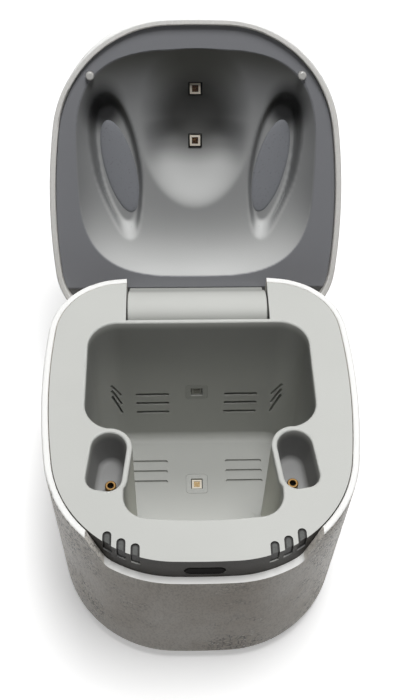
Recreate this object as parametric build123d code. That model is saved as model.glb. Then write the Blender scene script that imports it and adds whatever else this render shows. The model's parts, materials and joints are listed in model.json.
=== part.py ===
from build123d import *
import math
import os

# Hearing aid dryer: a tub with a chamber and two charging wells under a hinged lid.
# Millimetres, +Z up, +Y to the back. The origin is under the middle of the foot pad,
# and the lid is modelled closed and then swung open about the hinge.

# ---------------------------------------------------------------- driving dimensions
# Plan outline of the deck: eight tangent arcs. Shell and lid are the same outline, grown.
deck_width = 92.0
deck_depth = 100.0
side_radius = 195.0
side_centre_y = 12.0
rear_corner_radius = 20.5
rear_radius = 230.0
front_shoulder_radius = 36.5
front_radius = 245.0

deck_height = 72.0
deck_thickness = 2.2
skirt_depth = 16.0
skirt_wall = 1.8
tray_gap = 0.2

shell_wall = 2.1
shell_taper = 0.5
shell_floor = 2.2
shell_bottom_fillet = 7.0
rim_round = 0.6
plate_margin = 13.0
plate_thickness = 1.2
plate_ledge = 6.0
plate_gap = 0.15
pad_margin = 8.0
pad_thickness = 0.8

notch_depth = 9.8
notch_width = 55.0
notch_ramp = 5.5
notch_fillet = 2.5

# Chamber: a wide rear part and a narrower front lobe between the two wells.
chamber_width = 70.0
chamber_back_y = 32.2
chamber_waist_y = -7.3
chamber_corner = 9.0
chamber_depth = 62.5
chamber_floor_width = 67.0
chamber_floor_back_y = 27.5
chamber_floor_fillet = 3.5
chamber_wall = 1.6
lobe_width = 45.4
lobe_front_y = -37.4
lobe_bow = 1.6
lobe_corner = 7.0
lobe_taper = 0.7

# Wells: the hull of three circles, (x, y, radius) for the right-hand one.
well_circles = ((27.3, -14.0, 5.3), (29.6, -23.6, 4.1), (27.3, -24.0, 4.1))
well_depth = 14.0
well_draw = 1.4
well_fillet = 1.8
well_wall = 1.6
mouth_round = 0.6
contact_x = 27.1
contact_y = -20.7
contact_ring_radius = 1.7
contact_hole_radius = 1.0
contact_height = 3.5
contact_fit = 0.02

# Air slots and ultraviolet lamps in the chamber.
slot_width = 1.4
slot_inner_x = 10.4
slot_length = 13.2
floor_slot_ys = (16.9, 12.8, 8.7)
back_slot_heights = (34.8, 29.9, 24.8)
back_slot_inner_x = 9.6
back_slot_length = 11.8
corner_slot_xs = (26.4, 29.4)
corner_slot_climbs = (6.3, 8.5, 10.5)
corner_slot_width = 0.8
floor_slot_depth = 1.0
lamp_size = 3.5
lamp_height = 1.2
lamp_clearance = 0.3
floor_lamp_y = 7.8
back_lamp_height = 36.0
bezel_size = 7.6
bezel_depth = 0.8
bezel_gap = 0.08
lamp_board_size = 12.0
board_thickness = 1.4

# Status windows over the front edge of the deck, and the start button below it.
window_xs = (19.1, 23.0, 26.9)
window_width = 2.5
window_reach = 3.7
window_depth = 5.0
window_recess = 0.4
window_gap = 0.1
stem_size = 1.6
band_thickness = 5.5
band_depth = 9.6
band_front_y = -30.0
status_board_length = 12.0
status_board_width = 4.0
status_board_inset = 4.4
status_board_turn = 24.0

button_width = 11.4
button_height = 4.2
button_drop = 6.1
button_gap = 0.15
button_proud = 0.1
button_round = 0.35
button_flange = 1.0
button_flange_thickness = 1.0
button_travel = 0.8
flange_clearance = 0.03
pocket_gap = 0.3
switch_size = 6.0
plunger_length = 0.8
plunger_radius = 1.6
switch_gap = 0.1

# Hinge across the back.
barrel_radius = 9.2
barrel_length = 45.8
barrel_end_gap = 0.35
barrel_end_chamfer = 0.3
trough_gap = 0.4
hinge_axis_y = 42.15
hinge_axis_drop = 10.3
slot_front_y = 33.3
cheek_thickness = 2.6
pin_radius = 1.5
pin_running_gap = 0.05
pin_seat_gap = 0.02
neck_front = 6.2
open_angle = 119.2

# Lid, given as heights above the deck when it is closed.
lid_gap = 0.3
lid_height = 24.0
lid_wall = 1.9
lid_roof = 2.2
lid_top_fillet = 9.0
lid_rim_round = 0.5
flange_recess = 2.0
flange_thickness = 2.2
liner_wall = 2.4
liner_margin = 6.0
liner_fade = 0.8
liner_drop = 3.75
liner_steps = 32
liner_sections = 28
stop_gap = 0.5
swing_gap = 0.3
cove_wall = 1.4
liner_gap = 0.15
dish_half_width = 39.2
dish_front_y = -43.2
dish_back_y = 32.0
dish_depth = 7.0
dish_steepness = 5.0
bowl_depth = 7.6
bowl_centre_y = -20.0
bowl_half_width = 19.0
bowl_half_length = 26.0
groove_floor = 11.5
groove_centre = (25.9, -9.5)
groove_half_width = 9.0
groove_half_length = 27.0
groove_lean = 14.0
groove_edge = 0.55
pad_centre = (25.3, -4.0)
pad_length = 32.5
pad_width = 10.6
pad_height = 1.6
pad_gap = 0.1
pad_proud = 0.3
lid_lamp_ys = (-29.2, -11.9)
lid_lamp_lifts = (3.6, 2.6)
lid_board_rise = 19.2
lid_board_posts = ((4.5, -36.8), (4.5, -4.4))
post_radius = 1.5
bumper_centre = (33.3, -35.2)
bumper_radius = 1.35
bumper_clearance = 0.15
bumper_root = 1.4
bumper_gap = 0.05
magnet_radius = 2.5
magnet_thickness = 1.5
magnet_y = -46.6
magnet_cover = 1.0
magnet_boss_radius = 4.0

# Inside: duct, heater and fan behind the chamber, boards below it.
duct_width = 52.0
duct_height = 34.0
duct_centre_z = 30.5
duct_wall = 1.5
duct_back_y = 37.2
heater_thickness = 1.6
heater_height = 24.0
heater_fins = 9
fan_size = 40.0
fan_depth = 10.0
fan_bore_radius = 18.5
fan_hub_radius = 9.0
fan_tip_gap = 0.6
fan_blades = 7
fan_blade_thickness = 1.2
fan_blade_pitch = 35.0
fan_back_plate = 1.2
main_board_width = 50.0
main_board_depth = 75.0
main_board_y = 7.5
main_board_lift = 0.6
main_board_spacers = ((20.0, 20.0), (18.0, -18.0))
spacer_radius = 2.0
chip_size = 9.0
usb_width = 8.9
usb_height = 3.2
usb_depth = 7.4
usb_gap = 0.2

screw_head_radius = 2.4
screw_shank_radius = 1.1
screw_head_height = 0.7
screw_clearance = 0.1
base_screw_places = ((29.7, 22.0), (28.3, -10.0))
base_screw_length = 5.0
base_boss_height = 5.5
boss_radius = 2.4
lid_screw_places = ((43.4, 22.0), (43.4, -6.0))
lid_screw_length = 6.0
lid_screw_bite = 1.5

# ---------------------------------------------------------------- values that follow
shell_grow = tray_gap + shell_wall
chamber_floor = deck_height - chamber_depth
hinge_z = deck_height - hinge_axis_drop
hinge_axis = Axis((0, hinge_axis_y, hinge_z), (1, 0, 0))
deck_back_y = deck_depth / 2
deck_front_y = -deck_depth / 2
trough_radius = barrel_radius + trough_gap
slot_half_width = barrel_length / 2 + barrel_end_gap
shell_bottom = pad_thickness
button_z = deck_height - button_drop
band_back_y = deck_front_y + band_thickness
back_lean = (chamber_back_y - chamber_floor_back_y) / chamber_depth
back_wall_thickness = chamber_wall * math.cos(math.atan(back_lean))
side_lean = (chamber_width - chamber_floor_width) / 2 / chamber_depth
wall_back_y = deck_back_y + shell_grow - slot_half_width**2 / (2 * rear_radius)
swing_radius = math.hypot(wall_back_y - hinge_axis_y, hinge_axis_drop) + swing_gap
big = 200.0
nodes = {}


# ---------------------------------------------------------------- shared outlines
def toward(centre, through, reach):
    """The point at a reach from a centre, on the way through another point."""
    share = reach / math.dist(centre, through)
    return (
        centre[0] + (through[0] - centre[0]) * share,
        centre[1] + (through[1] - centre[1]) * share,
    )


def meeting_point(first, first_reach, second, second_reach, back):
    """The corner centre that lies at two reaches from two arc centres."""
    gap = math.dist(first, second)
    along = (first_reach**2 - second_reach**2 + gap**2) / (2 * gap)
    aside = math.sqrt(first_reach**2 - along**2)
    ux, uy = (second[0] - first[0]) / gap, (second[1] - first[1]) / gap
    picks = []
    for way in (1, -1):
        picks.append((first[0] + ux * along - way * uy * aside, first[1] + uy * along + way * ux * aside))
    return max(picks, key=lambda point: point[0] + (point[1] if back else -point[1]))


def minor_arc(centre, start, end):
    """An arc of under half a circle about a centre."""
    chord_middle = ((start[0] + end[0]) / 2, (start[1] + end[1]) / 2)
    return ThreePointArc(start, toward(centre, chord_middle, math.dist(centre, start)), end)


def mirrored(point):
    return (-point[0], point[1])


def outline(grow=0.0):
    """The plan outline, grown by an even margin, as a face at height 0."""
    side = (deck_width / 2 - side_radius, side_centre_y)
    rear = (0.0, deck_back_y - rear_radius)
    front = (0.0, deck_front_y + front_radius)
    corner = meeting_point(
        side, side_radius - rear_corner_radius, rear, rear_radius - rear_corner_radius, True
    )
    shoulder = meeting_point(
        side, side_radius - front_shoulder_radius, front, front_radius - front_shoulder_radius, False
    )
    rear_end = toward(rear, corner, rear_radius + grow)
    side_back = toward(side, corner, side_radius + grow)
    side_front = toward(side, shoulder, side_radius + grow)
    front_end = toward(front, shoulder, front_radius + grow)
    edges = [
        minor_arc(rear, mirrored(rear_end), rear_end),
        minor_arc(corner, rear_end, side_back),
        minor_arc(side, side_back, side_front),
        minor_arc(shoulder, side_front, front_end),
        minor_arc(front, front_end, mirrored(front_end)),
        minor_arc(mirrored(shoulder), mirrored(front_end), mirrored(side_front)),
        minor_arc(mirrored(side), mirrored(side_front), mirrored(side_back)),
        minor_arc(mirrored(corner), mirrored(side_back), mirrored(rear_end)),
    ]
    return make_face(edges)


def outline_block(grow, low, high):
    """The outline as a solid between two heights."""
    return extrude(Pos(0, 0, low) * outline(grow), high - low)


def front_edge_y(x):
    """Where the deck's front edge is, at a distance from the middle."""
    front_centre_y = deck_front_y + front_radius
    if abs(x) < deck_width / 8:
        return front_centre_y - math.sqrt(front_radius**2 - x**2)
    edge = outline_block(0, 0, 1) & Pos(x, -big / 2, 0.5) * Box(0.01, big, 0.01)
    return edge.bounding_box().min.Y


def both_sides(part):
    """A part and its mirror image across the middle plane."""
    return part + mirror(part, about=Plane.YZ)


def well_shape(grow=0.0):
    circles = Sketch() + [Pos(x, y) * Circle(radius + grow) for x, y, radius in well_circles]
    return make_hull(circles.edges())


def bottom_edges(part):
    return part.edges().group_by(Axis.Z)[0]


def opened(part):
    """Swings a closed lid piece to the rest pose, with the lid open."""
    return part.rotate(hinge_axis, -open_angle)


# ---------------------------------------------------------------- base casing
def notch_cutter():
    """The dip in the shell's front rim, with ramped and rounded ends."""
    half, top = notch_width / 2, deck_height + 5
    slope = notch_ramp / notch_depth
    low = deck_height - notch_depth
    rise = top - low
    profile = Polyline(
        (-half, low), (half, low), (half + slope * rise, top), (-half - slope * rise, top), close=True
    )
    face = fillet(make_face(profile).vertices().group_by(Axis.Y)[0], notch_fillet)
    return extrude(Plane.XZ.offset(band_thickness - band_front_y) * face, deck_depth)


def base_screw_points():
    return [(sign * x, y) for x, y in base_screw_places for sign in (1, -1)]


def usb_hole():
    z = shell_bottom + shell_floor + main_board_lift + board_thickness + usb_height / 2
    hole = extrude(
        Plane.XZ * Pos(0, z) * RectangleRounded(usb_width + 2 * usb_gap, usb_height + 2 * usb_gap, 1.5),
        -big,
    )
    return hole & Pos(0, big / 2 + main_board_y, 0) * Box(big, big, big)


def make_base_shell():
    height = deck_height - shell_bottom
    body = extrude(Pos(0, 0, deck_height) * outline(shell_grow), -height, taper=shell_taper)
    body = fillet(bottom_edges(body), shell_bottom_fillet)
    hollow = extrude(
        Pos(0, 0, deck_height) * outline(tray_gap), -(height - shell_floor), taper=shell_taper
    )
    hollow = fillet(bottom_edges(hollow), shell_bottom_fillet - shell_floor)
    body -= hollow
    body = fillet(body.edges().group_by(Axis.Z)[-1], rim_round)
    body -= outline_block(-plate_margin, shell_bottom - 1, shell_bottom + plate_thickness)
    body -= outline_block(-plate_margin - plate_ledge, shell_bottom, shell_bottom + shell_floor + 1)
    boss_low = shell_bottom + plate_thickness
    for x, y in base_screw_points():
        body += Pos(x, y, boss_low + base_boss_height / 2) * Cylinder(boss_radius, base_boss_height)
        body -= Pos(x, y, boss_low) * Cylinder(
            screw_shank_radius + screw_clearance, 2 * base_screw_length
        )
    body -= notch_cutter()
    rear_notch_low = hinge_z - trough_radius
    body -= Pos(0, deck_back_y, (rear_notch_low + deck_height + 5) / 2) * Box(
        2 * slot_half_width, 12, deck_height + 5 - rear_notch_low
    )
    return body - usb_hole()


def make_base_plate():
    top = shell_bottom + plate_thickness
    plate = outline_block(-plate_margin - plate_gap, shell_bottom, top)
    for x, y in base_screw_points():
        plate -= Pos(x, y, shell_bottom + screw_head_height / 2) * Cylinder(
            screw_head_radius + screw_clearance, screw_head_height
        )
        plate -= Pos(x, y, top) * Cylinder(screw_shank_radius + screw_clearance, 2 * plate_thickness)
    return plate


def make_foot_pad():
    return outline_block(-pad_margin, 0, pad_thickness)


def make_base_screws():
    screws = []
    for x, y in base_screw_points():
        head = Pos(x, y, shell_bottom + screw_head_height / 2) * Cylinder(
            screw_head_radius, screw_head_height
        )
        shank = Pos(x, y, shell_bottom + screw_head_height + base_screw_length / 2) * Cylinder(
            screw_shank_radius, base_screw_length
        )
        screws.append((head + shank).solid())
    return Compound(children=screws)


# ---------------------------------------------------------------- tray
def chamber_block(grow):
    """The chamber's hollow, or with grow the outside of its walls."""
    low = chamber_floor - grow
    mouth_depth = chamber_back_y - chamber_waist_y
    floor_depth = chamber_floor_back_y - back_lean * grow - chamber_waist_y
    mouth = Pos(0, chamber_waist_y + mouth_depth / 2, deck_height) * RectangleRounded(
        chamber_width + 2 * grow, mouth_depth + 2 * grow, chamber_corner + grow
    )
    floor = Pos(0, chamber_waist_y + floor_depth / 2, low) * RectangleRounded(
        chamber_floor_width + 2 * grow - 2 * side_lean * grow, floor_depth + 2 * grow, chamber_corner + grow
    )
    rear = loft([floor, mouth], ruled=True)
    rear = fillet(bottom_edges(rear), chamber_floor_fillet + grow)
    half = lobe_width / 2 + grow
    front = lobe_front_y - grow
    lobe_edges = [
        Line((-half, 0), (-half, front + lobe_bow)),
        ThreePointArc((-half, front + lobe_bow), (0, front), (half, front + lobe_bow)),
        Line((half, front + lobe_bow), (half, 0)),
        Line((half, 0), (-half, 0)),
    ]
    lobe_face = make_face(lobe_edges)
    lobe_face = fillet(lobe_face.vertices().group_by(Axis.Y)[0], lobe_corner + grow)
    lobe = extrude(Pos(0, 0, deck_height) * lobe_face, -(chamber_depth + grow), taper=lobe_taper)
    lobe = fillet(bottom_edges(lobe).sort_by(Axis.Y)[:-1], chamber_floor_fillet + grow)
    return rear + lobe


def waist_block():
    """Opens the chamber's waist, so that its wall runs in an arch round each well."""
    well_x, well_y = well_circles[0][:2]
    low = chamber_floor + chamber_floor_fillet
    return Pos(0, (chamber_waist_y + well_y) / 2, (deck_height + low) / 2) * Box(
        2 * well_x, chamber_waist_y - well_y, deck_height - low
    )


def back_wall_plane():
    """A plane on the chamber's leaning back wall, with x to the right and y up it."""
    return Plane(
        origin=(0, chamber_floor_back_y, chamber_floor),
        x_dir=(1, 0, 0),
        z_dir=(0, -1, back_lean),
    )


def back_wall_height(height):
    """The distance up the leaning wall at which it reaches a height."""
    return (height - chamber_floor) / math.cos(math.atan(back_lean))


def slot_row(x_middle, y, length):
    return Pos(x_middle, y) * SlotOverall(length, slot_width)


def corner_slot(z, climb):
    """A thin slot that climbs outward through the rounded corner of the back wall."""
    inner, outer = corner_slot_xs
    middle = Pos((inner + outer) / 2, z + climb / 2)
    turn = Rot(0, 0, math.degrees(math.atan2(climb, outer - inner)))
    length = math.hypot(outer - inner, climb) + corner_slot_width
    shape = Plane.XZ.offset(-chamber_back_y - chamber_wall) * (
        middle * turn * SlotOverall(length, corner_slot_width)
    )
    return extrude(shape, chamber_corner)


def vent_cutters():
    """The blind slots in the floor, and the air slots in the back wall and its corners."""
    floor_x = slot_inner_x + slot_length / 2
    back_x = back_slot_inner_x + back_slot_length / 2
    floor_slots = Sketch() + [slot_row(floor_x, y, slot_length) for y in floor_slot_ys]
    cutters = extrude(Pos(0, 0, chamber_floor - floor_slot_depth) * floor_slots, chamber_wall)
    rows = [back_wall_height(z) for z in back_slot_heights]
    back_slots = Sketch() + [slot_row(back_x, row, back_slot_length) for row in rows]
    cutters += extrude(back_wall_plane().offset(1) * back_slots, -2 - chamber_wall)
    for z, climb in zip(back_slot_heights, corner_slot_climbs):
        cutters += corner_slot(z, climb)
    return both_sides(cutters)


def lamp_openings():
    """The floor and back wall lamps' square holes and the seats of their bezels."""
    side = lamp_size + 2 * lamp_clearance
    seat = bezel_size + 2 * bezel_gap
    hole = Rectangle(side, side)
    bezel_seat = RectangleRounded(seat, seat, 1.2)
    floor_spot = Pos(0, floor_lamp_y, chamber_floor)
    back_spot = back_wall_plane() * Pos(0, back_wall_height(back_lamp_height))
    cutters = Part()
    for spot in (floor_spot, back_spot):
        cutters += extrude(spot * Pos(0, 0, 1) * hole, -2 - chamber_wall)
        cutters += extrude(spot * bezel_seat, -bezel_depth)
    return cutters


def window_footprint(x, shrink=0.0):
    """A status window from above: a finger that runs off the deck's front edge."""
    tip = front_edge_y(x) + window_reach
    width = window_width - 2 * shrink
    finger = Pos(x, tip - width / 2 - shrink) * Circle(width / 2)
    return finger + Pos(x, tip - window_width / 2 - 5) * Rectangle(width, 10)


def stem_place(x):
    return Pos(x, front_edge_y(x) + window_reach - window_width / 2, deck_height - window_depth)


def window_cutters():
    cutters = Part()
    for x in window_xs:
        top = Pos(0, 0, deck_height + 1) * window_footprint(x)
        cutters += extrude(top, -window_depth - 1)
        cutters += stem_place(x) * Box(stem_size + 0.2, stem_size + 0.2, 2 * band_depth)
    return both_sides(cutters)


def pill(width, height):
    """The button's outline on the front of the tray."""
    return Plane.XZ * Pos(0, button_z) * SlotOverall(width, height)


def button_cutter():
    """The pill-shaped hole through the front band, and the flat pocket behind it."""
    hole = extrude(pill(button_width + 2 * button_gap, button_height + 2 * button_gap), big)
    hole &= Pos(0, band_back_y - band_thickness, button_z) * Box(big, 2 * band_thickness, big)
    depth = button_flange_thickness + button_travel + 2 * flange_clearance
    margin = 2 * (button_flange + pocket_gap)
    pocket = Pos(0, band_back_y + depth / 2, button_z) * Box(
        button_width + margin, depth, button_height + margin
    )
    return hole + pocket


def trough_cutter():
    """The room for the hinge barrel: a round bed, open to the top and to the back."""
    length = 2 * slot_half_width
    bed = Pos(0, hinge_axis_y, hinge_z) * Rot(0, 90, 0) * Cylinder(trough_radius, length)
    above = deck_height + 1 - hinge_z
    opening = Pos(0, (slot_front_y + big) / 2, hinge_z + above / 2) * Box(length, big - slot_front_y, above)
    way_out = Pos(0, (hinge_axis_y + big) / 2, hinge_z) * Box(
        length, big - hinge_axis_y, 2 * trough_radius
    )
    return bed + opening + way_out


def trough_block():
    length = 2 * (slot_half_width + cheek_thickness)
    outer = trough_radius + chamber_wall
    bed = Pos(0, hinge_axis_y, hinge_z) * Rot(0, 90, 0) * Cylinder(outer, length)
    back = Pos(0, (hinge_axis_y + deck_back_y) / 2, hinge_z) * Box(
        length, deck_back_y - hinge_axis_y, 2 * outer
    )
    cheeks = Pos(0, hinge_axis_y, (hinge_z + deck_height - 0.5) / 2) * Box(
        length, 2 * outer, deck_height - 0.5 - hinge_z
    )
    return bed + back + cheeks


def well_hollow(depth, grow):
    mouth = Pos(0, 0, deck_height) * well_shape(grow)
    foot = Pos(0, 0, deck_height - depth) * well_shape(grow - well_draw)
    return fillet(bottom_edges(loft([foot, mouth], ruled=True)), well_fillet)


def mouth_edges(tray):
    """The edges round the mouths of the chamber and the wells."""
    rim = tray.edges().group_by(Axis.Z)[-1]
    inside = outline_block(-2 * mouth_round, deck_height - 1, deck_height + 1)
    return [edge for edge in rim if inside.solid().is_inside(edge @ 0.5)]


def make_inner_tray():
    plate = outline_block(0, deck_height - deck_thickness, deck_height)
    skirt = outline_block(0, deck_height - skirt_depth, deck_height - 0.5)
    skirt -= outline_block(-skirt_wall, deck_height - skirt_depth - 1, deck_height)
    band = outline_block(-0.3, deck_height - band_depth, deck_height - 0.5)
    band -= outline_block(-band_thickness, deck_height - band_depth - 1, deck_height)
    band -= Pos(0, band_front_y + big / 2, deck_height) * Box(big, big, big)
    wells = both_sides(well_hollow(well_depth + well_wall, well_wall))
    tray = plate + skirt + band + chamber_block(chamber_wall) + wells + trough_block()
    tray &= outline_block(0, chamber_floor - chamber_wall, deck_height)
    columns = extrude(Pos(0, 0, deck_height + 1) * well_shape(well_wall), -big)
    hollow = chamber_block(0) + waist_block() - both_sides(columns)
    tray -= hollow
    tray -= both_sides(well_hollow(well_depth, 0))
    tray = fillet(mouth_edges(tray), mouth_round)
    core_top = deck_height - well_depth - 2 * well_wall
    core = extrude(Pos(0, 0, core_top) * well_shape(well_wall - chamber_wall), -big)
    tray -= both_sides(core)
    contact = Pos(contact_x, contact_y, deck_height - well_depth) * Cylinder(
        contact_ring_radius + contact_fit, 4 * well_wall
    )
    tray -= both_sides(contact)
    tray -= trough_cutter()
    tray -= vent_cutters()
    tray -= lamp_openings()
    tray -= window_cutters()
    tray -= button_cutter()
    pin_hole = Pos(0, hinge_axis_y, hinge_z) * Rot(0, 90, 0) * Cylinder(pin_radius + pin_seat_gap, big / 2)
    return tray - pin_hole


# ---------------------------------------------------------------- fittings of the base
def make_status_window(x):
    face = window_footprint(x, window_gap)
    low = deck_height - window_depth
    lens = extrude(Pos(0, 0, low + window_gap) * face, window_depth - window_gap - window_recess)
    lens &= outline_block(-window_recess, low - 1, deck_height)
    stem_length = band_depth - window_depth + 2 * window_gap
    stem = Pos(0, 0, -(band_depth - window_depth)) * stem_place(x) * Box(
        stem_size, stem_size, stem_length, align=(Align.CENTER, Align.CENTER, Align.MIN)
    )
    return lens + stem


def make_status_board(side):
    turn = math.radians(status_board_turn)
    x = side * (window_xs[1] - status_board_inset * math.sin(turn))
    y = front_edge_y(window_xs[1]) + status_board_inset * math.cos(turn)
    z = deck_height - band_depth - board_thickness / 2
    return Pos(x, y, z) * Rot(0, 0, side * status_board_turn) * Box(
        status_board_length, status_board_width, board_thickness
    )


def contact_spot(side):
    return Pos(side * contact_x, contact_y, deck_height - well_depth - well_wall)


def make_contact_ring(side):
    length = contact_height + well_wall
    ring = Cylinder(contact_ring_radius, length, align=(Align.CENTER, Align.CENTER, Align.MIN))
    ring = chamfer(ring.edges().group_by(Axis.Z)[-1], 0.25)
    ring -= Cylinder(contact_hole_radius, 3 * contact_height)
    return contact_spot(side) * ring


def make_contact_socket(side):
    """The black insulator that fills the lower half of a contact ring."""
    return contact_spot(side) * Cylinder(
        contact_hole_radius, well_wall + contact_height / 2, align=(Align.CENTER, Align.CENTER, Align.MIN)
    )


def lamp_package():
    """A small square ultraviolet lamp: a ceramic cup round a sunken chip."""
    cup = Box(lamp_size, lamp_size, lamp_height, align=(Align.CENTER, Align.CENTER, Align.MIN))
    well = Pos(0, 0, lamp_height) * Box(lamp_size - 1.2, lamp_size - 1.2, 0.8)
    chip = Pos(0, 0, lamp_height - 0.4) * Box(1.2, 1.2, 0.4)
    return cup - well + chip


def lamp_board():
    return Pos(0, 0, -board_thickness / 2) * Box(lamp_board_size, lamp_board_size, board_thickness)


def bezel():
    plate = extrude(RectangleRounded(bezel_size, bezel_size, 1.1), bezel_depth)
    side = lamp_size + 2 * lamp_clearance
    return plate - Box(side, side, 3 * bezel_depth)


def floor_lamp_spot(rise):
    return Pos(0, floor_lamp_y, chamber_floor + rise)


def back_lamp_spot(rise):
    return back_wall_plane() * Pos(0, back_wall_height(back_lamp_height), rise)


def make_air_duct():
    """The rectangular duct that carries the fan's air to the chamber's back wall."""
    depth = duct_back_y - chamber_floor_back_y
    middle_y = duct_back_y - depth / 2
    duct = Pos(0, middle_y, duct_centre_z) * Box(duct_width, depth, duct_height)
    duct -= Pos(0, middle_y - duct_wall, duct_centre_z) * Box(
        duct_width - 2 * duct_wall, depth, duct_height - 2 * duct_wall
    )
    duct -= Pos(0, duct_back_y, duct_centre_z) * Rot(90, 0, 0) * Cylinder(
        fan_bore_radius * 0.85, 4 * duct_wall
    )
    return duct - chamber_block(chamber_wall)


def make_heater():
    """A heater plate with upright fins, held between the duct's side walls."""
    width = duct_width - 2 * duct_wall
    y = duct_back_y - duct_wall - heater_thickness / 2
    heater = Pos(0, y, duct_centre_z) * Box(width, heater_thickness, heater_height)
    pitch = (width - 6) / heater_fins
    for number in range(heater_fins):
        x = (number - (heater_fins - 1) / 2) * pitch
        heater -= Pos(x, y, duct_centre_z) * Box(pitch * 0.6, 3 * heater_thickness, heater_height - 4)
    return heater


def make_fan_frame():
    middle = Pos(0, duct_back_y + fan_depth / 2, duct_centre_z)
    frame = Box(fan_size, fan_depth, fan_size) - Rot(90, 0, 0) * Cylinder(fan_bore_radius, 2 * fan_depth)
    back = fan_depth / 2 - fan_back_plate / 2
    for angle in (45, 135):
        frame += Pos(0, back, 0) * Rot(0, angle, 0) * Box(2.2 * fan_bore_radius, fan_back_plate, 3)
    frame += Pos(0, back, 0) * Rot(90, 0, 0) * Cylinder(fan_hub_radius, fan_back_plate)
    return middle * frame


def make_fan_rotor():
    depth = fan_depth - fan_back_plate - 0.6
    y = duct_back_y + 0.3 + depth / 2
    tip = fan_bore_radius - fan_tip_gap
    rotor = Rot(90, 0, 0) * Cylinder(fan_hub_radius, depth)
    blade_length = tip - fan_hub_radius + 1
    disc = Rot(90, 0, 0) * Cylinder(tip, depth)
    for number in range(fan_blades):
        blade = Pos(fan_hub_radius - 1 + blade_length / 2, 0, 0) * Rot(fan_blade_pitch, 0, 0) * Box(
            blade_length + 2, fan_blade_thickness, depth * 0.95
        )
        rotor += Rot(0, number * 360 / fan_blades, 0) * blade
    rotor &= disc
    return Pos(0, y, duct_centre_z) * rotor


def make_main_board():
    z = shell_bottom + shell_floor + main_board_lift + board_thickness / 2
    board = Pos(0, main_board_y, z) * Box(main_board_width, main_board_depth, board_thickness)
    spacer_height = main_board_lift + shell_floor - plate_thickness
    for x, y in main_board_spacers:
        spacer = Pos(x, y, shell_bottom + plate_thickness + spacer_height / 2) * Cylinder(
            spacer_radius, spacer_height
        )
        board += both_sides(spacer)
    return board


def make_usb_socket():
    z = shell_bottom + shell_floor + main_board_lift + board_thickness + usb_height / 2
    back = main_board_y + main_board_depth / 2 + 3.2
    socket = extrude(Plane.XZ * RectangleRounded(usb_width, usb_height, 1.4), usb_depth / 2, both=True)
    socket -= Pos(0, 1, 0) * extrude(
        Plane.XZ * RectangleRounded(usb_width - 0.8, usb_height - 0.8, 1.0), usb_depth / 2, both=True
    )
    socket += Pos(0, 0.2, 0) * Box(usb_width - 2.4, usb_depth - 1.2, 0.7)
    return Pos(0, back - usb_depth / 2, z) * socket


def make_controller_chip():
    z = shell_bottom + shell_floor + main_board_lift + board_thickness
    return Pos(0, -12, z + 0.5) * Box(chip_size, chip_size, 1.0)


def make_hinge_pin():
    length = 2 * (slot_half_width + cheek_thickness)
    pin = Rot(0, 90, 0) * Cylinder(pin_radius, length)
    return Pos(0, hinge_axis_y, hinge_z) * pin


# ---------------------------------------------------------------- start button
def make_start_button():
    """The pill-shaped cap, its stem through the tray's front band and its flange."""
    back_y = band_back_y + flange_clearance
    cap_length = back_y - deck_front_y + button_proud
    cap = extrude(pill(button_width, button_height), big)
    cap &= Pos(0, back_y - cap_length / 2, button_z) * Box(big, cap_length, big)
    cap = fillet(cap.faces().sort_by(Axis.Y)[0].edges(), button_round)
    flange = extrude(pill(button_width + 2 * button_flange, button_height + 2 * button_flange), big / 2)
    flange &= Pos(0, band_back_y + flange_clearance + button_flange_thickness / 2, button_z) * Box(
        big, button_flange_thickness, big
    )
    return cap + flange


def make_button_switch():
    """The switch on the inside, its plunger just clear of the button's flange."""
    front = band_back_y + button_flange_thickness + button_travel + 2 * flange_clearance
    back = lobe_front_y - chamber_wall - switch_gap
    depth = back - front - plunger_length
    plunger = Pos(0, front + plunger_length / 2, button_z) * Rot(90, 0, 0) * Cylinder(
        plunger_radius, plunger_length
    )
    body = Pos(0, back - depth / 2, button_z) * Box(switch_size, depth, switch_size)
    return plunger + body


# ---------------------------------------------------------------- lid
def stop_plane_cutter():
    """What the lid loses at its back edge, so that it opens flat against the base."""
    wall_y = deck_back_y + shell_grow + stop_gap
    block = Pos(0, wall_y - big / 2, hinge_z) * Box(big, big, big)
    return block.rotate(hinge_axis, open_angle)


def make_lid_shell():
    low, high = deck_height + lid_gap, deck_height + lid_height
    outer = outline_block(shell_grow, low, high)
    outer = fillet(outer.edges().group_by(Axis.Z)[-1], lid_top_fillet)
    hollow = outline_block(shell_grow - lid_wall, low - 1, high - lid_roof)
    hollow = fillet(hollow.edges().group_by(Axis.Z)[-1], lid_top_fillet - lid_roof)
    body = fillet((outer - hollow).edges().group_by(Axis.Z)[0], lid_rim_round)
    foot = deck_height + flange_recess + flange_thickness
    for x, y in lid_screw_points():
        boss = Pos(x, y, (high + foot) / 2) * Cylinder(boss_radius, high - foot) & outer
        body += boss - Pos(x, y, foot) * Cylinder(
            screw_shank_radius + screw_clearance, 2 * lid_screw_length
        )
    return body - stop_plane_cutter()


def soft_hill(distance):
    """A smooth hill that is 1 at the centre, and 0 with no slope from 1 outward."""
    return (1 - distance**2) ** 2 if distance < 1 else 0.0


def smooth_share(value):
    """Eases from 0 to 1."""
    value = min(max(value, 0.0), 1.0)
    return value * value * (3 - 2 * value)


def soft_floor(rise):
    """A rise that levels off smoothly a little below the flange."""
    return liner_fade * math.log1p(math.exp(rise / liner_fade + liner_drop)) - liner_drop * liner_fade


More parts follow.
